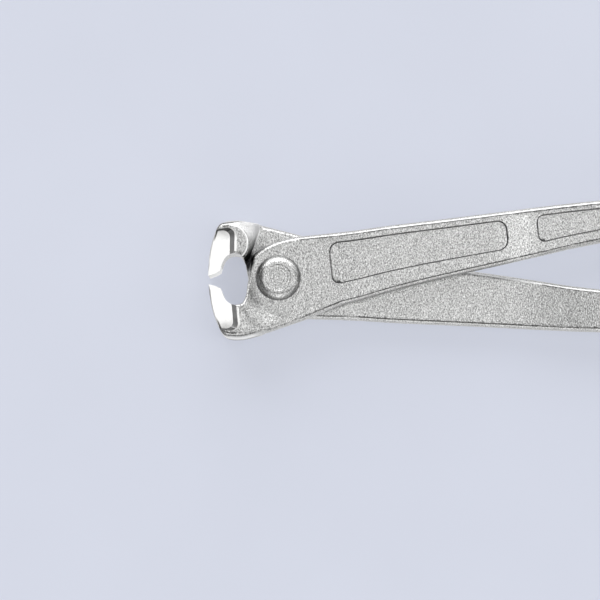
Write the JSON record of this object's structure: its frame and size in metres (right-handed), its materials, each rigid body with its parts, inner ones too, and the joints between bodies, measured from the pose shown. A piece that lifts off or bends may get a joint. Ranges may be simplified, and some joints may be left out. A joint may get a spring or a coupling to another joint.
{
  "type": "rebar tying pliers",
  "caption": "Long-handled end-cutting nippers that grip, twist and cut the wire ties on concrete reinforcing bars.",
  "frame": {"origin": "on the rivet axis, on the flat of the rear rivet head", "axes": "+X from the rivet along the tool's middle line to the handle ends, +Y towards the front lever's handle, +Z along the rivet out of the front face"},
  "size_m": [0.2984, 0.0902, 0.023],
  "materials": {
    "plated_forging": "bright zinc plating over the grain of a drop forging, with the jaw flanks ground bare",
    "plated_rivet": "bright zinc plating over a turned head"
  },
  "bodies": {
    "rear_half": {"rear_lever": "plated_forging", "joint_rivet": "plated_rivet"},
    "front_half": {"front_lever": "plated_forging"}
  },
  "joints": [
    {"name": "jaw_hinge", "type": "hinge", "parent": "rear_half", "child": "front_half", "pos_m": [0, 0, 0.0099], "axis": [0, 0, 1], "range_deg": [-6.6, 44]}
  ]
}
